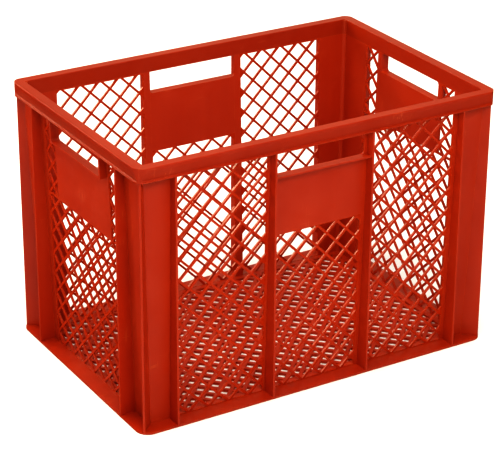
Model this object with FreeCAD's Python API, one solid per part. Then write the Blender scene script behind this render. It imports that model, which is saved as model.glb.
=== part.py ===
import FreeCAD, Part

import math
import os

# A stacking crate for milk bottles: an open box whose drafted walls are mostly diamond mesh,
# hung from a channel-section rim, with thin upright fins that reach out to the full outline.
# It is one moulding, so its sections meet face to face and nothing moves.
# Frame: origin on the floor under the middle, +X along the length, +Z up, millimetres.

# Overall size
LENGTH = 600.0
WIDTH = 400.0
HEIGHT = 410.0

# Walls: the inner surface starts this far inside the outline and draws in going down
WALL_INSET = 16.0
WALL_DRAFT = 0.028
WALL = 3.0
CORNER_CHAMFER = 4.0

# Rim: an inverted channel with a coved outer face and a bead along its lower edge
RIM_BOTTOM = 388.0
RIM_INNER_BOTTOM = 386.0
RIM_SKIN = 3.0
RIM_EDGE_RADIUS = 1.2
RIM_COVE = 3.2
RIM_COVE_RADIUS = 1.5
RIM_COVE_TOP = 5.0
RIM_BEAD = 3.0
RIM_CORNER_RADIUS = 16.0
RIM_MITRE = 40.0

# Foot flange from the walls out to the outline, and the deeper perforated floor inside it
FLANGE = 3.0
FLANGE_RADIUS = 20.0
FLOOR_DEPTH = 4.0
FLOOR_PITCH = 25.0
FLOOR_STRAND = 5.6
FLOOR_BORDER = 9.0

# Fins and corner webs
FIN = 3.0
POST_FIN_X = 241.0
POST_FIN_Y = 132.5
MULLION_FIN_X = 81.5
WEB_TIP_INSET = 6.2

# Mesh
MESH_PITCH = 33.5
MESH_STRAND = 3.6
MESH_DEPTH = 2.7
MESH_BORDER = 1.6
SMALLEST_OPENING = 16.0
NODE_HEIGHT_LONG = 254.3
NODE_HEIGHT_SHORT = 272.1
LONG_BAY_NODE = 93.4

# Where the mesh bays of the long walls start and end
LONG_BAY_IN = 85.6
LONG_BAY_OUT = 234.8
LONG_MULLION_IN = 75.0

# Where the mesh of the short walls starts and ends
SHORT_STRIP_IN = 84.5
SHORT_STRIP_OUT = 119.0
SHORT_HOLE_HALF = 76.0

# Hand holes
LONG_SILL_TOP = 350.8
SHORT_SILL_TOP = 354.5
HOLE_RADIUS = 5.0
LONG_PLATE_BOTTOM = 256.0
LEFT_PLATE_BOTTOM = 257.0
RIGHT_PLATE_BOTTOM = 273.7
SILL_DEPTH = 10.4
SILL_THICKNESS = 3.0

# Quarter rounds are drawn in short flats; points closer than this count as one
ARC_STEPS = 6
SAME_POINT = 0.05

# Start, middle and end of the half of a plan corner that belongs to one side, in degrees
HALF_CORNER = (45.0, 67.5, 90.0)


def vector(x, y, z):
    return FreeCAD.Vector(x, y, z)


def inner_x(z):
    """Inner surface of a short wall at height z."""
    return LENGTH / 2 - WALL_INSET - WALL_DRAFT * (HEIGHT - z)


def inner_y(z):
    """Inner surface of a long wall at height z."""
    return WIDTH / 2 - WALL_INSET - WALL_DRAFT * (HEIGHT - z)


def long_point(side, depth=0):
    """Maps (distance along, height) onto a long wall, depth outside its inner surface."""
    return lambda s, z: vector(s, side * (inner_y(z) + depth), z)


def short_point(side, depth=0):
    """Maps (distance along, height) onto a short wall, depth outside its inner surface."""
    return lambda s, z: vector(side * (inner_x(z) + depth), s, z)


def long_out(side, depth):
    return vector(0, side * depth, 0)


def short_out(side, depth):
    return vector(side * depth, 0, 0)


def closed_wire(points):
    return Part.makePolygon(points + points[:1])


def rounded_wire(points, radii):
    """Closed wire through the points, each corner rounded by its own radius."""
    edges = []
    arcs = []
    count = len(points)
    for i in range(count):
        here = points[i]
        radius = radii[i]
        if radius == 0:
            arcs.append((here, None, here))
            continue
        back = (points[i - 1] - here).normalize()
        ahead = (points[(i + 1) % count] - here).normalize()
        half = back.getAngle(ahead) / 2
        reach = radius / math.tan(half)
        middle = (back + ahead).normalize()
        crown = here + middle * (radius / math.sin(half) - radius)
        arcs.append((here + back * reach, crown, here + ahead * reach))
    for i in range(count):
        start, crown, end = arcs[i]
        if crown is not None:
            edges.append(Part.Arc(start, crown, end).toShape())
        following = arcs[(i + 1) % count][0]
        if end.distanceToPoint(following) > SAME_POINT:
            edges.append(Part.LineSegment(end, following).toShape())
    return Part.Wire(edges)


def tapered(plan, low, high):
    """Solid whose level outline plan(z) changes evenly from low to high."""
    rings = [closed_wire([vector(x, y, z) for x, y in plan(z)]) for z in (low, high)]
    return Part.makeLoft(rings, True, True)


def clip(points, axis, limit, keep_above):
    """Part of a convex outline on one side of a level or upright line."""
    kept = []
    for i, here in enumerate(points):
        before = points[i - 1]
        inside = (here[axis] >= limit) == keep_above
        was_inside = (before[axis] >= limit) == keep_above
        if inside != was_inside:
            t = (limit - before[axis]) / (here[axis] - before[axis])
            other = before[1 - axis] + t * (here[1 - axis] - before[1 - axis])
            kept.append((limit, other) if axis == 0 else (other, limit))
        if inside:
            kept.append(here)
    return kept


def area(points):
    total = 0.0
    for i, (s, z) in enumerate(points):
        total += points[i - 1][0] * z - s * points[i - 1][1]
    return abs(total) / 2


def diamond_openings(bounds, node, pitch, strand, border):
    """Openings between 45 degree strands that cross at node, cut off at a border."""
    s_low, s_high, z_low, z_high = bounds
    half = (pitch - strand * math.sqrt(2)) / 2
    box = (s_low + border, s_high - border, z_low + border, z_high - border)
    step = pitch / 2
    columns = int((s_high - s_low) / step) + 4
    rows = int((z_high - z_low) / step) + 4
    first_column = math.floor((s_low - node[0]) / step) - 1
    first_row = math.floor((z_low - node[1]) / step) - 1
    openings = []
    for i in range(first_column, first_column + columns):
        for j in range(first_row, first_row + rows):
            if (i + j) % 2 == 0:
                continue
            s = node[0] + i * step
            z = node[1] + j * step
            outline = [(s - half, z), (s, z - half), (s + half, z), (s, z + half)]
            for axis, limit, above in ((0, box[0], True), (0, box[1], False),
                                       (1, box[2], True), (1, box[3], False)):
                outline = clip(outline, axis, limit, above)
            if len(outline) > 2 and area(outline) > SMALLEST_OPENING:
                openings.append(without_repeats(outline))
    return openings


def without_repeats(outline):
    kept = []
    for point in outline:
        if not kept or math.dist(kept[-1], point) > SAME_POINT:
            kept.append(point)
    if math.dist(kept[-1], kept[0]) < SAME_POINT:
        kept.pop()
    return kept


def mesh_panel(point, out, bounds, node):
    """Mesh in a drafted wall, its inner face flush with the wall."""
    s_low, s_high, z_low, z_high = bounds
    corners = [(s_low, z_low), (s_high, z_low), (s_high, z_high), (s_low, z_high)]
    outlines = [corners] + diamond_openings(bounds, node, MESH_PITCH, MESH_STRAND, MESH_BORDER)
    wires = [closed_wire([point(s, z) for s, z in outline]) for outline in outlines]
    return Part.Face(wires, "Part::FaceMakerBullseye").extrude(out)


def wall_panel(point, out, outline):
    """Solid stretch of a drafted wall."""
    return Part.Face(closed_wire([point(s, z) for s, z in outline])).extrude(out)


def rectangle(s_low, s_high, z_low, z_high):
    return [(s_low, z_low), (s_high, z_low), (s_high, z_high), (s_low, z_high)]


def quarter_round(s, z, across, up, start):
    """Points of a quarter circle about (s, z); across and up are 1 or -1."""
    turns = [math.radians(90 * i / ARC_STEPS) for i in range(ARC_STEPS + 1)]
    if start == "upright":
        turns.reverse()
    return [(s + across * HOLE_RADIUS * math.sin(turn), z + up * HOLE_RADIUS * math.cos(turn))
            for turn in turns]


def handle_plate(point, out, half, bottom, top, hole_half):
    """Plate below a hand hole; where it is as narrow as the hole its ends rise in a round."""
    outline = [(-half, bottom), (half, bottom)]
    if half > hole_half:
        right = [(half, top)]
    else:
        right = quarter_round(half - HOLE_RADIUS, top + HOLE_RADIUS, 1, -1, "upright")
    outline += right + [(-s, z) for s, z in reversed(right)]
    return wall_panel(point, out, outline)


def hole_post(point, out, side, hole_half, half, top):
    """Stretch of wall between a hand hole and the mesh, with a round at its foot and head."""
    s = hole_half - HOLE_RADIUS
    outline = [(half, top), (half, RIM_INNER_BOTTOM)]
    outline += quarter_round(s, RIM_INNER_BOTTOM - HOLE_RADIUS, 1, 1, "level")
    outline += quarter_round(s, top + HOLE_RADIUS, 1, -1, "upright")
    return wall_panel(point, out, [(side * px, pz) for px, pz in outline])


def sill_long(side):
    """Shelf under a hand hole, between the fins of the two mullions."""
    half = MULLION_FIN_X - FIN / 2
    outline = rectangle(-half, half, LONG_SILL_TOP - SILL_THICKNESS, LONG_SILL_TOP)
    return wall_panel(long_point(side, WALL), long_out(side, SILL_DEPTH), outline)


def handle_frame(side):
    """Shelf under a hand hole and the two upright flanges at its ends, in one piece."""
    inside = SHORT_HOLE_HALF
    outside = SHORT_HOLE_HALF + SILL_THICKNESS
    low = SHORT_SILL_TOP - SILL_THICKNESS
    right = [(outside, low), (outside, RIM_INNER_BOTTOM), (inside, RIM_INNER_BOTTOM)]
    right += quarter_round(inside - HOLE_RADIUS, SHORT_SILL_TOP + HOLE_RADIUS, 1, -1, "upright")
    outline = right + [(-s, z) for s, z in reversed(right)]
    return wall_panel(short_point(side, WALL), short_out(side, SILL_DEPTH), outline)


def rim_section(full, inner):
    """Section of the rim as (distance out, height)."""
    face = full - RIM_COVE
    bead_top = RIM_BOTTOM + RIM_BEAD
    skin_in = full - RIM_COVE - RIM_SKIN
    points = [(inner(HEIGHT), HEIGHT), (full, HEIGHT), (full, HEIGHT - RIM_COVE_TOP),
              (face, bead_top), (full, bead_top - RIM_BEAD / 3), (full, RIM_BOTTOM),
              (skin_in, RIM_BOTTOM), (skin_in, HEIGHT - RIM_SKIN),
              (inner(HEIGHT) + WALL, HEIGHT - RIM_SKIN),
              (inner(RIM_INNER_BOTTOM) + WALL, RIM_INNER_BOTTOM),
              (inner(RIM_INNER_BOTTOM), RIM_INNER_BOTTOM)]
    edge = RIM_EDGE_RADIUS
    return points, [edge, edge, RIM_COVE_RADIUS, edge, edge / 2, edge / 2, 0, 0, 0, 0, 0]


def long_place(side):
    """Maps (distance along, distance out, height) for the side of a long wall."""
    return lambda s, d, z: vector(s, side * d, z)


def short_place(side):
    """Maps (distance along, distance out, height) for the side of a short wall."""
    return lambda s, d, z: vector(side * d, s, z)


def eased_corner(place, half, depth, radius, z, end):
    """Arc from the middle of a rounded plan corner to the side it belongs to."""
    points = []
    for turn in HALF_CORNER:
        across = radius * (1 - math.cos(math.radians(turn)))
        back = radius * (1 - math.sin(math.radians(turn)))
        points.append(place(end * (half - across), depth - back, z))
    return points


def side_plan(place, half, depth, radius, root, z):
    """Level outline of one side between its two mitres, rounded at the outer corners."""
    root_half, root_depth = root
    left = eased_corner(place, half, depth, radius, z, -1)
    right = eased_corner(place, half, depth, radius, z, 1)
    start = place(-root_half, root_depth, z)
    finish = place(root_half, root_depth, z)
    edges = [Part.LineSegment(start, left[0]).toShape(), Part.Arc(*left).toShape(),
             Part.LineSegment(left[2], right[2]).toShape(), Part.Arc(*right[::-1]).toShape(),
             Part.LineSegment(right[0], finish).toShape(),
             Part.LineSegment(finish, start).toShape()]
    return Part.Face(Part.Wire(edges))


def corner_fill(side_x, side_y, along_x):
    """Half of the small chamfer inside a corner of the rim."""
    def plan(z):
        x = inner_x(z)
        y = inner_y(z)
        half_cut = CORNER_CHAMFER / 2
        arm = (x - CORNER_CHAMFER, y) if along_x else (x, y - CORNER_CHAMFER)
        points = [arm, (x - half_cut, y - half_cut), (x, y)]
        return [(side_x * px, side_y * py) for px, py in points]
    return tapered(plan, RIM_INNER_BOTTOM, HEIGHT - RIM_EDGE_RADIUS)


def rim_rail(place, half, depth, inner):
    """Rim section along one side, mitred into its neighbours."""
    points, radii = rim_section(depth, inner)
    wire = rounded_wire([place(-half, d, z) for d, z in points], radii)
    whole = Part.Face(wire).extrude(place(2 * half, 0, 0))
    root = (half - RIM_MITRE, depth - RIM_MITRE)
    between = side_plan(place, half, depth, RIM_CORNER_RADIUS, root, 0)
    return whole.common(between.extrude(vector(0, 0, HEIGHT)))


def rim_rail_long(side):
    rail = rim_rail(long_place(side), LENGTH / 2, WIDTH / 2, inner_y)
    fills = [corner_fill(side_x, side, True) for side_x in (-1, 1)]
    return rail.fuse(fills).removeSplitter()


def rim_rail_short(side):
    rail = rim_rail(short_place(side), WIDTH / 2, LENGTH / 2, inner_x)
    fills = [corner_fill(side, side_y, False) for side_y in (-1, 1)]
    return rail.fuse(fills).removeSplitter()


def corner_panel_long(side_x, side_y):
    """Plain wall from a mesh bay of a long wall to the mitre at the corner."""
    def plan(z):
        x = inner_x(z)
        y = inner_y(z)
        cut = CORNER_CHAMFER
        points = [(LONG_BAY_OUT, y), (x - cut, y), (x - cut / 2, y - cut / 2),
                  (x + WALL, y + WALL), (LONG_BAY_OUT, y + WALL)]
        return [(side_x * px, side_y * py) for px, py in points]
    return tapered(plan, FLANGE, RIM_INNER_BOTTOM)


def corner_panel_short(side_x, side_y):
    """Plain wall from the mesh of a short wall to the mitre at the corner."""
    def plan(z):
        x = inner_x(z)
        y = inner_y(z)
        cut = CORNER_CHAMFER
        points = [(x, SHORT_STRIP_OUT), (x, y - cut), (x - cut / 2, y - cut / 2),
                  (x + WALL, y + WALL), (x + WALL, SHORT_STRIP_OUT)]
        return [(side_x * px, side_y * py) for px, py in points]
    return tapered(plan, FLANGE, RIM_INNER_BOTTOM)


def corner_web(side_x, side_y):
    """Diagonal web from the corner of the box out towards the outline, its root pointed."""
    foot = FIN / math.sqrt(2)
    tip_x = LENGTH / 2 - WEB_TIP_INSET
    tip_y = WIDTH / 2 - WEB_TIP_INSET

    def plan(z):
        x = inner_x(z) + WALL
        y = inner_y(z) + WALL
        points = [(x, y), (x, y - foot), (tip_x + foot / 2, tip_y - foot / 2),
                  (tip_x - foot / 2, tip_y + foot / 2), (x - foot, y)]
        return [(side_x * px, side_y * py) for px, py in points]
    return tapered(plan, FLANGE, RIM_BOTTOM)


def fin_long(x, side):
    """Upright fin on a long wall, its front edge on the outline."""
    section = [(inner_y(FLANGE) + WALL, FLANGE), (WIDTH / 2, FLANGE), (WIDTH / 2, RIM_BOTTOM),
               (inner_y(RIM_BOTTOM) + WALL, RIM_BOTTOM)]
    points = [vector(x - FIN / 2, side * y, z) for y, z in section]
    return Part.Face(closed_wire(points)).extrude(vector(FIN, 0, 0))


def fin_short(side, y):
    """Upright fin on a short wall, its front edge on the outline."""
    section = [(inner_x(FLANGE) + WALL, FLANGE), (LENGTH / 2, FLANGE), (LENGTH / 2, RIM_BOTTOM),
               (inner_x(RIM_BOTTOM) + WALL, RIM_BOTTOM)]
    points = [vector(side * x, y - FIN / 2, z) for x, z in section]
    return Part.Face(closed_wire(points)).extrude(vector(0, FIN, 0))


def mullion(side_x, side):
    """Upright strip beside a hand hole, with its fin."""
    low, high = sorted((side_x * LONG_MULLION_IN, side_x * LONG_BAY_IN))
    outline = rectangle(low, high, FLANGE, RIM_INNER_BOTTOM)
    strip = wall_panel(long_point(side), long_out(side, WALL), outline)
    return strip.fuse(fin_long(side_x * MULLION_FIN_X, side)).removeSplitter()


def flange_long(side):
    """Foot flange along a long wall, mitred at its ends."""
    root = (inner_x(FLANGE) + WALL, inner_y(FLANGE) + WALL)
    plan = side_plan(long_place(side), LENGTH / 2, WIDTH / 2, FLANGE_RADIUS, root, 0)
    return plan.extrude(vector(0, 0, FLANGE))


def flange_short(side):
    """Foot flange along a short wall, mitred at its ends."""
    root = (inner_y(FLANGE) + WALL, inner_x(FLANGE) + WALL)
    plan = side_plan(short_place(side), WIDTH / 2, LENGTH / 2, FLANGE_RADIUS, root, 0)
    return plan.extrude(vector(0, 0, FLANGE))


def floor():
    """Perforated floor: its edge passes under the walls, its middle stands up inside them."""
    inside_x = inner_x(FLANGE)
    inside_y = inner_y(FLANGE)
    half_x = inside_x + WALL
    half_y = inside_y + WALL
    edge = rectangle(-half_x, half_x, -half_y, half_y)
    bounds = (-half_x, half_x, -half_y, half_y)
    holes = diamond_openings(bounds, (0, 0), FLOOR_PITCH, FLOOR_STRAND, WALL + FLOOR_BORDER)
    wires = [closed_wire([vector(x, y, 0) for x, y in outline]) for outline in [edge] + holes]
    grid = Part.Face(wires, "Part::FaceMakerBullseye").extrude(vector(0, 0, FLOOR_DEPTH))
    cut = CORNER_CHAMFER
    quarter = [(inside_x, inside_y - cut), (inside_x - cut, inside_y)]
    middle = []
    for side_x, side_y in ((1, 1), (-1, 1), (-1, -1), (1, -1)):
        ends = quarter if side_x == side_y else quarter[::-1]
        middle += [(side_x * x, side_y * y) for x, y in ends]
    beyond = rectangle(-LENGTH, LENGTH, -WIDTH, WIDTH)
    wires = [closed_wire([vector(x, y, FLANGE) for x, y in outline]) for outline in (beyond, middle)]
    step = Part.Face(wires, "Part::FaceMakerBullseye").extrude(vector(0, 0, FLOOR_DEPTH))
    return grid.cut(step)


def export(name, shape):
    shape.exportStep("parts/" + name + ".step")


LONG_SIDES = {"front": -1, "rear": 1}
SHORT_SIDES = {"left": -1, "right": 1}
PLATE_BOTTOMS = {"left": LEFT_PLATE_BOTTOM, "right": RIGHT_PLATE_BOTTOM}


def export_corners():
    for front_or_rear, side_y in LONG_SIDES.items():
        for left_or_right, side_x in SHORT_SIDES.items():
            place = front_or_rear + "_" + left_or_right
            export("corner_panel_long_" + place, corner_panel_long(side_x, side_y))
            export("corner_panel_short_" + place, corner_panel_short(side_x, side_y))
            export("corner_web_" + place, corner_web(side_x, side_y))
            export("post_fin_long_" + place, fin_long(side_x * POST_FIN_X, side_y))
            export("post_fin_short_" + place, fin_short(side_x, side_y * POST_FIN_Y))


def export_long_wall(name, side):
    point = long_point(side)
    solid = long_out(side, WALL)
    mesh = long_out(side, MESH_DEPTH)
    half = LONG_MULLION_IN
    export("rim_rail_" + name, rim_rail_long(side))
    export("foot_flange_" + name, flange_long(side))
    plate = handle_plate(point, solid, half, LONG_PLATE_BOTTOM, LONG_SILL_TOP, half)
    export("handle_plate_" + name, plate)
    export("handle_sill_" + name, sill_long(side))
    under = (-half, half, FLANGE, LONG_PLATE_BOTTOM)
    export("mesh_under_handle_" + name, mesh_panel(point, mesh, under, (0, NODE_HEIGHT_LONG)))
    for left_or_right, side_x in SHORT_SIDES.items():
        low, high = sorted((side_x * LONG_BAY_IN, side_x * LONG_BAY_OUT))
        bay = (low, high, FLANGE, RIM_INNER_BOTTOM)
        node = (side_x * LONG_BAY_NODE, NODE_HEIGHT_LONG)
        export("mesh_bay_" + name + "_" + left_or_right, mesh_panel(point, mesh, bay, node))
        export("mullion_" + name + "_" + left_or_right, mullion(side_x, side))


def export_short_wall(name, side):
    point = short_point(side)
    solid = short_out(side, WALL)
    mesh = short_out(side, MESH_DEPTH)
    bottom = PLATE_BOTTOMS[name]
    node = (0, NODE_HEIGHT_SHORT)
    hole = SHORT_HOLE_HALF
    half = SHORT_STRIP_IN
    export("rim_rail_" + name, rim_rail_short(side))
    export("foot_flange_" + name, flange_short(side))
    plate = handle_plate(point, solid, half, bottom, SHORT_SILL_TOP, hole)
    export("handle_plate_" + name, plate)
    export("handle_frame_" + name, handle_frame(side))
    posts = [hole_post(point, solid, end, hole, half, SHORT_SILL_TOP) for end in (-1, 1)]
    export("handle_posts_" + name, Part.makeCompound(posts))
    under = (-SHORT_STRIP_OUT, SHORT_STRIP_OUT, FLANGE, bottom)
    export("mesh_under_handle_" + name, mesh_panel(point, mesh, under, node))
    for front_or_rear, side_y in LONG_SIDES.items():
        low, high = sorted((side_y * SHORT_STRIP_IN, side_y * SHORT_STRIP_OUT))
        strip = (low, high, bottom, RIM_INNER_BOTTOM)
        export("mesh_strip_" + name + "_" + front_or_rear, mesh_panel(point, mesh, strip, node))


os.makedirs("parts", exist_ok=True)
for wall, wall_side in LONG_SIDES.items():
    export_long_wall(wall, wall_side)
for wall, wall_side in SHORT_SIDES.items():
    export_short_wall(wall, wall_side)
export_corners()
export("floor", floor())
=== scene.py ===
import math

import bpy
from mathutils import Matrix, Vector


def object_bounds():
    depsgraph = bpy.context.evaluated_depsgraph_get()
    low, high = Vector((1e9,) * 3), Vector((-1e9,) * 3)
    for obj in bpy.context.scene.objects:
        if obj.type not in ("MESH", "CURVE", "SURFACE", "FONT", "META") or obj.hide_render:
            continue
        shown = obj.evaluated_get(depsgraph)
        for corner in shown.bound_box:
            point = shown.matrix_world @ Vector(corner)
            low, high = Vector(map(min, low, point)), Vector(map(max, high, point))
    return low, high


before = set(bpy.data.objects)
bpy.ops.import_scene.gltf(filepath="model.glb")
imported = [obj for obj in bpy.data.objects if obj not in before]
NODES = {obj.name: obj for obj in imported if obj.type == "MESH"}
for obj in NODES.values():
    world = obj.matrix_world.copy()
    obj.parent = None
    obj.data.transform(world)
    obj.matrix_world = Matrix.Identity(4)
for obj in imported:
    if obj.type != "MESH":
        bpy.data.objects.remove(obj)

CAD_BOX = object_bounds()
LOW = Vector(CAD_BOX[0])
HIGH = Vector(CAD_BOX[1])
MIDDLE = (LOW + HIGH) / 2

# Camera
VIEW_AZIMUTH = -31.07
VIEW_ELEVATION = 24.62
VIEW_ROLL = 0.35
VIEW_DISTANCE = 3.083
VIEW_LENS = 145.7
SENSOR_WIDTH = 36.0
TARGET_SIDE = -0.0038
TARGET_HEIGHT = 0.1836

# Edge rounding: width in metres and segments; only edges sharper than EDGE_ANGLE are rounded
WALL_EDGE = (0.0008, 2)
MESH_EDGE = (0.0006, 2)
FLOOR_EDGE = (0.0008, 1)
EDGE_ANGLE = math.radians(30)

# Plastic colours
PALER = (0.395, 0.0285, 0.0030, 1.0)
DEEPER = (0.340, 0.0210, 0.0024, 1.0)
# Paler colour of scuffs and edges; on the edges it is wear and also a painted highlight
WORN_AND_HIGHLIT = (0.560, 0.1050, 0.0280, 1.0)
DARKER_FOOT_RED = (0.220, 0.0130, 0.0060, 1.0)

# Samples that find the edges to wear
EDGE_SAMPLES = 4

# Marks: the darkening towards the foot fades out at the height set here, and the others are how far a mark
# covers the plastic
FOOT_DARKENING_HEIGHT = 0.035
FOOT_DARKENING_COVER = 0.20
STREAK_COVER = 0.35
SCUFF_COVER = 0.45

# Turn in radians and squeeze of the noise behind each set of scratches, and squeeze of the flow streaks
SCRATCHES = (((0.3, 0.5, 0.7), (1.0, 1.0, 0.05)), ((1.1, 0.2, 2.1), (0.06, 1.0, 1.0)))
STREAK_SQUEEZE = (1.0, 1.0, 0.08)

# Polyethylene's reflection
PLASTIC_IOR = 1.5
PLASTIC_SPECULAR = 0.40

# Roughness: how far it wanders either way, and what marks add to it
ROUGHNESS_DRIFT = 0.07
SCUFF_ROUGHNESS = 0.18
FOOT_ROUGHNESS = 0.3

# The plastic of each kind of section: one moulding; the rim's colour is made deeper as painted shade and
# the floor's paler as painted light, and the edge wear is partly a painted highlight
WALL_PLASTIC = {"shade": 1.0, "scuffs": 0.02, "edge_wear_and_highlight": 0.35, "edge_width": 0.0012, "roughness": 0.40}
RIM_PLASTIC = {"shade": 0.84, "scuffs": 0.04, "edge_wear_and_highlight": 0.85, "edge_width": 0.0009, "roughness": 0.36}
MESH_PLASTIC = {"shade": 1.0, "scuffs": 0.0, "edge_wear_and_highlight": 0.50, "edge_width": 0.0006, "roughness": 0.26}
FLOOR_PLASTIC = {"shade": 1.10, "scuffs": 0.06, "edge_wear_and_highlight": 0.45, "edge_width": 0.0010, "roughness": 0.42}

# Studio
STUDIO_HALF = 6.0
STUDIO_GAP = 0.0005
STUDIO_WHITE = (0.92, 0.92, 0.92, 1.0)
STUDIO_ROUGHNESS = 0.8
STUDIO_SPECULAR = 0.2
WORLD_STRENGTH = 0.50
WORLD_WHITE = (1.0, 1.0, 1.0, 1.0)
WARM_WHITE = (1.0, 0.92, 0.74)
AMBER_WHITE = (1.0, 0.82, 0.55)

# Lights: azimuth 0 is the front and negative is to the left, in degrees
TOP_LIGHT = {"azimuth": -100, "elevation": 80, "distance": 2.6, "size": 2.2, "power": 29}
KEY_LIGHT = {"azimuth": -17, "elevation": 40, "distance": 2.0, "size": 0.9, "power": 21}
LEFT_LIGHT = {"azimuth": -72, "elevation": 44, "distance": 2.2, "size": 0.7, "power": 4}
SIDE_LIGHT = {"azimuth": -125, "elevation": 14, "distance": 2.6, "size": 0.7, "power": 18}
GLINT_LIGHT = {"azimuth": -152, "elevation": 28, "distance": 2.6, "size": 0.7, "power": 18}
RIGHT_LIGHT = {"azimuth": 84, "elevation": 26, "distance": 2.6, "size": 0.7, "power": 14}
BACK_LIGHT = {"azimuth": 149, "elevation": 27, "distance": 3.0, "size": 1.5, "power": 5}


def add_node(tree, kind, vector=None, **inputs):
    """New node with the given input values, fed by a vector where there is one."""
    made = tree.nodes.new(kind)
    for name, value in inputs.items():
        made.inputs[name.replace("_", " ")].default_value = value
    if vector is not None:
        tree.links.new(vector, made.inputs["Vector"])
    return made


def ramp(tree, factor, low, high, start=(0, 0, 0, 1), end=(1, 1, 1, 1)):
    """Colour ramp between two positions."""
    made = tree.nodes.new("ShaderNodeValToRGB")
    made.color_ramp.elements[0].position = low
    made.color_ramp.elements[0].color = start
    made.color_ramp.elements[1].position = high
    made.color_ramp.elements[1].color = end
    tree.links.new(factor, made.inputs["Fac"])
    return made.outputs["Color"]


def maths(tree, operation, first, second):
    """Arithmetic on two values, each a number or a socket."""
    made = tree.nodes.new("ShaderNodeMath")
    made.operation = operation
    for socket, value in zip(made.inputs, (first, second)):
        if isinstance(value, (int, float)):
            socket.default_value = value
        else:
            tree.links.new(value, socket)
    return made.outputs["Value"]


def mix_colour(tree, factor, first, second):
    """Blend of two colours; a Mix node keeps its colour sockets at inputs 6 and 7 and output 2."""
    made = tree.nodes.new("ShaderNodeMix")
    made.data_type = "RGBA"
    for socket, value in zip((made.inputs[0], *made.inputs[6:8]), (factor, first, second)):
        if isinstance(value, tuple):
            socket.default_value = value
        else:
            tree.links.new(value, socket)
    return made.outputs[2]


def shaded(colour, shade):
    """The colour, lighter or deeper."""
    return tuple(shade * part for part in colour[:3]) + (1.0,)


def stretched(tree, place, turn, squeeze):
    """Coordinates turned and squeezed, for marks longer than they are wide."""
    made = tree.nodes.new("ShaderNodeMapping")
    made.inputs["Rotation"].default_value = turn
    made.inputs["Scale"].default_value = squeeze
    tree.links.new(place, made.inputs["Vector"])
    return made.outputs["Vector"]


def scuff_mask(tree, place, amount):
    """Short scratches in scattered patches; amount is the share of the surface they reach."""
    patches = add_node(tree, "ShaderNodeTexNoise", place, Scale=16.0, Detail=2.0)
    patch = ramp(tree, patches.outputs["Fac"], 0.62 - amount, 0.72 - amount)
    strokes = []
    for turn, squeeze in SCRATCHES:
        along = stretched(tree, place, turn, squeeze)
        fine = add_node(tree, "ShaderNodeTexNoise", along, Scale=420.0, Detail=1.0)
        strokes.append(ramp(tree, fine.outputs["Fac"], 0.64, 0.70))
    return maths(tree, "MULTIPLY", patch, maths(tree, "MAXIMUM", strokes[0], strokes[1]))


def edge_mask(tree, place, width):
    """Bright where two faces meet, broken up so that it isn't even; it is edge wear and also a painted
    highlight along the edges.
    """
    bevel = add_node(tree, "ShaderNodeBevel", Radius=width)
    bevel.samples = EDGE_SAMPLES
    face = tree.nodes.new("ShaderNodeNewGeometry")
    facing = tree.nodes.new("ShaderNodeVectorMath")
    facing.operation = "DOT_PRODUCT"
    tree.links.new(bevel.outputs["Normal"], facing.inputs[0])
    tree.links.new(face.outputs["Normal"], facing.inputs[1])
    edge = ramp(tree, facing.outputs["Value"], 0.80, 0.985, (1, 1, 1, 1), (0, 0, 0, 1))
    breaks = add_node(tree, "ShaderNodeTexNoise", place, Scale=70.0, Detail=3.0)
    return maths(tree, "MULTIPLY", edge, ramp(tree, breaks.outputs["Fac"], 0.30, 0.62))


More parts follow.
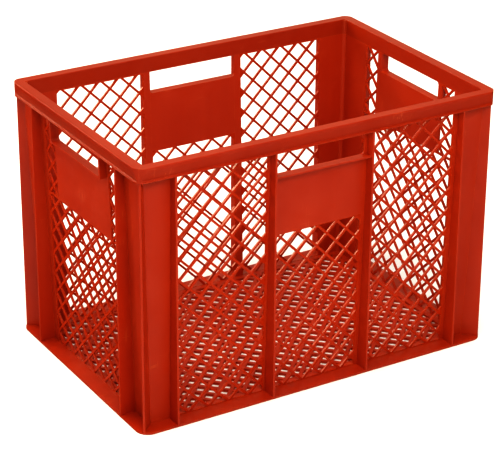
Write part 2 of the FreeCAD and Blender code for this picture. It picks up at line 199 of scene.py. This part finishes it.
def moulded_plastic(name, shade, scuffs, edge_wear_and_highlight, edge_width, roughness):
    """Moulded polyethylene: drifting colour, flow marks, scuffs, paler edges that are wear and a painted
    highlight, darker towards the foot.
    """
    # The shade darkens the rim's colour as painted shade and lightens the floor's as painted light
    deeper = shaded(DEEPER, shade)
    paler = shaded(PALER, shade)
    material = bpy.data.materials.new(name)
    material.use_nodes = True
    tree = material.node_tree
    shader = tree.nodes["Principled BSDF"]
    link = tree.links.new
    place = tree.nodes.new("ShaderNodeNewGeometry").outputs["Position"]

    drift = add_node(tree, "ShaderNodeTexNoise", place, Scale=8.0, Detail=4.0, Roughness=0.55)
    colour = ramp(tree, drift.outputs["Fac"], 0.30, 0.70, deeper, paler)
    upright = stretched(tree, place, (0, 0, 0), STREAK_SQUEEZE)
    flow = add_node(tree, "ShaderNodeTexNoise", upright, Scale=85.0, Detail=2.0)
    streaks = maths(tree, "MULTIPLY", ramp(tree, flow.outputs["Fac"], 0.50, 0.75), STREAK_COVER)
    colour = mix_colour(tree, streaks, colour, paler)

    # The colour goes darker and the surface rougher towards the foot, in patches
    height = tree.nodes.new("ShaderNodeSeparateXYZ")
    link(place, height.inputs["Vector"])
    foot = add_node(tree, "ShaderNodeMapRange", From_Min=LOW.z, From_Max=LOW.z + FOOT_DARKENING_HEIGHT,
                    To_Min=FOOT_DARKENING_COVER, To_Max=0.0)
    link(height.outputs["Z"], foot.inputs["Value"])
    blots = add_node(tree, "ShaderNodeTexNoise", place, Scale=45.0, Detail=5.0, Roughness=0.65)
    foot_darkening = maths(tree, "MULTIPLY", foot.outputs["Result"], ramp(tree, blots.outputs["Fac"], 0.42, 0.66))
    colour = mix_colour(tree, foot_darkening, colour, DARKER_FOOT_RED)

    scuffed = scuff_mask(tree, place, scuffs)
    # Edges are made paler: wear together with a painted highlight
    worn_and_highlit_edges = maths(tree, "MULTIPLY", edge_mask(tree, place, edge_width), edge_wear_and_highlight)
    marks_and_highlights = maths(tree, "MAXIMUM", maths(tree, "MULTIPLY", scuffed, SCUFF_COVER), worn_and_highlit_edges)
    colour = mix_colour(tree, marks_and_highlights, colour, WORN_AND_HIGHLIT)
    link(colour, shader.inputs["Base Color"])

    gloss = add_node(tree, "ShaderNodeTexNoise", place, Scale=32.0, Detail=5.0, Roughness=0.6)
    spread = add_node(tree, "ShaderNodeMapRange", From_Min=0.25, From_Max=0.75,
                      To_Min=roughness - ROUGHNESS_DRIFT, To_Max=roughness + ROUGHNESS_DRIFT)
    link(gloss.outputs["Fac"], spread.inputs["Value"])
    scratched = maths(tree, "MULTIPLY", scuffed, SCUFF_ROUGHNESS)
    dulled = maths(tree, "ADD", spread.outputs["Result"], scratched)
    foot_dulled = maths(tree, "MULTIPLY", foot_darkening, FOOT_ROUGHNESS)
    link(maths(tree, "ADD", dulled, foot_dulled), shader.inputs["Roughness"])

    grain = add_node(tree, "ShaderNodeTexNoise", place, Scale=1300.0, Detail=2.0)
    waves = add_node(tree, "ShaderNodeTexNoise", place, Scale=22.0, Detail=1.0)
    sunk = add_node(tree, "ShaderNodeBump", Strength=0.35, Distance=0.0012)
    link(waves.outputs["Fac"], sunk.inputs["Height"])
    scored = add_node(tree, "ShaderNodeBump", Strength=0.35, Distance=0.00015)
    scored.invert = True
    link(scuffed, scored.inputs["Height"])
    link(sunk.outputs["Normal"], scored.inputs["Normal"])
    grained = add_node(tree, "ShaderNodeBump", Strength=0.16, Distance=0.0003)
    link(grain.outputs["Fac"], grained.inputs["Height"])
    link(scored.outputs["Normal"], grained.inputs["Normal"])
    link(grained.outputs["Normal"], shader.inputs["Normal"])

    shader.inputs["IOR"].default_value = PLASTIC_IOR
    shader.inputs["Specular IOR Level"].default_value = PLASTIC_SPECULAR
    return material


def pale_floor():
    """Plain, nearly white surface to stand the crate on."""
    material = bpy.data.materials.new("studio_floor")
    material.use_nodes = True
    shader = material.node_tree.nodes["Principled BSDF"]
    shader.inputs["Base Color"].default_value = STUDIO_WHITE
    shader.inputs["Roughness"].default_value = STUDIO_ROUGHNESS
    shader.inputs["Specular IOR Level"].default_value = STUDIO_SPECULAR
    return material


def dress(obj, material, edge):
    """Gives a section its plastic and softens its edges."""
    obj.data.materials.clear()
    obj.data.materials.append(material)
    bevel = obj.modifiers.new("edge_rounding", "BEVEL")
    bevel.width, bevel.segments = edge
    bevel.limit_method = "ANGLE"
    bevel.angle_limit = EDGE_ANGLE
    bevel.use_clamp_overlap = True
    bevel.harden_normals = True


def dress_all():
    """Gives every section of the crate the plastic of its kind."""
    wall = moulded_plastic("crate_plastic_wall", **WALL_PLASTIC)
    rim = moulded_plastic("crate_plastic_rim", **RIM_PLASTIC)
    mesh = moulded_plastic("crate_plastic_mesh", **MESH_PLASTIC)
    floor = moulded_plastic("crate_plastic_floor", **FLOOR_PLASTIC)
    for name, obj in NODES.items():
        if name.startswith("mesh_"):
            dress(obj, mesh, MESH_EDGE)
        elif name == "floor":
            dress(obj, floor, FLOOR_EDGE)
        elif name.startswith("rim_"):
            dress(obj, rim, WALL_EDGE)
        else:
            dress(obj, wall, WALL_EDGE)


def studio_floor():
    """Level sheet just under the crate; it leaves no sheen on the plastic."""
    half = STUDIO_HALF
    mesh = bpy.data.meshes.new("studio_floor")
    corners = [(-half, -half, 0), (half, -half, 0), (half, half, 0), (-half, half, 0)]
    mesh.from_pydata(corners, [], [(0, 1, 2, 3)])
    floor = bpy.data.objects.new("studio_floor", mesh)
    floor.location.z = LOW.z - STUDIO_GAP
    mesh.materials.append(pale_floor())
    floor.visible_glossy = False
    bpy.context.collection.objects.link(floor)


def toward(azimuth, elevation):
    """Unit vector out from the crate, from angles in degrees."""
    turn = math.radians(azimuth)
    rise = math.radians(elevation)
    return Vector((math.sin(turn) * math.cos(rise), -math.cos(turn) * math.cos(rise), math.sin(rise)))


def softbox(name, azimuth, elevation, distance, size, power, glossy=True, colour=WARM_WHITE):
    """Square area light aimed at the middle of the crate; without glossy it leaves no sheen."""
    direction = toward(azimuth, elevation)
    data = bpy.data.lights.new(name, "AREA")
    data.shape = "SQUARE"
    data.size = size
    data.energy = power
    data.color = colour
    light = bpy.data.objects.new(name, data)
    light.location = MIDDLE + distance * direction
    light.rotation_euler = (-direction).to_track_quat("-Z", "Y").to_euler()
    light.visible_glossy = glossy
    bpy.context.collection.objects.link(light)


def light_studio():
    """Soft lights round the crate, an even white world and the tone of the picture."""
    softbox("light_top", **TOP_LIGHT)
    softbox("light_key", **KEY_LIGHT)
    softbox("light_left", **LEFT_LIGHT)
    softbox("light_side", glossy=False, **SIDE_LIGHT)
    softbox("light_glint", colour=AMBER_WHITE, **GLINT_LIGHT)
    softbox("light_right", glossy=False, **RIGHT_LIGHT)
    softbox("light_back", colour=AMBER_WHITE, **BACK_LIGHT)
    world = bpy.data.worlds.new("studio")
    bpy.context.scene.world = world
    world.use_nodes = True
    background = world.node_tree.nodes["Background"]
    background.inputs["Color"].default_value = WORLD_WHITE
    background.inputs["Strength"].default_value = WORLD_STRENGTH
    world.cycles_visibility.glossy = False
    bpy.context.scene.view_settings.view_transform = "Standard"
    bpy.context.scene.view_settings.look = "High Contrast"


def add_camera():
    """Camera looking down at the front left corner, level but for a slight roll."""
    data = bpy.data.cameras.new("camera")
    data.lens = VIEW_LENS
    data.sensor_width = SENSOR_WIDTH
    camera = bpy.data.objects.new("camera", data)
    target = Vector((TARGET_SIDE, 0.0, TARGET_HEIGHT))
    back = toward(VIEW_AZIMUTH, VIEW_ELEVATION)
    look = (-back).to_track_quat("-Z", "Y").to_matrix().to_4x4()
    roll = Matrix.Rotation(math.radians(VIEW_ROLL), 4, "Z")
    camera.matrix_world = Matrix.Translation(target + VIEW_DISTANCE * back) @ look @ roll
    bpy.context.collection.objects.link(camera)
    bpy.context.scene.camera = camera


add_camera()
dress_all()
studio_floor()
light_studio()
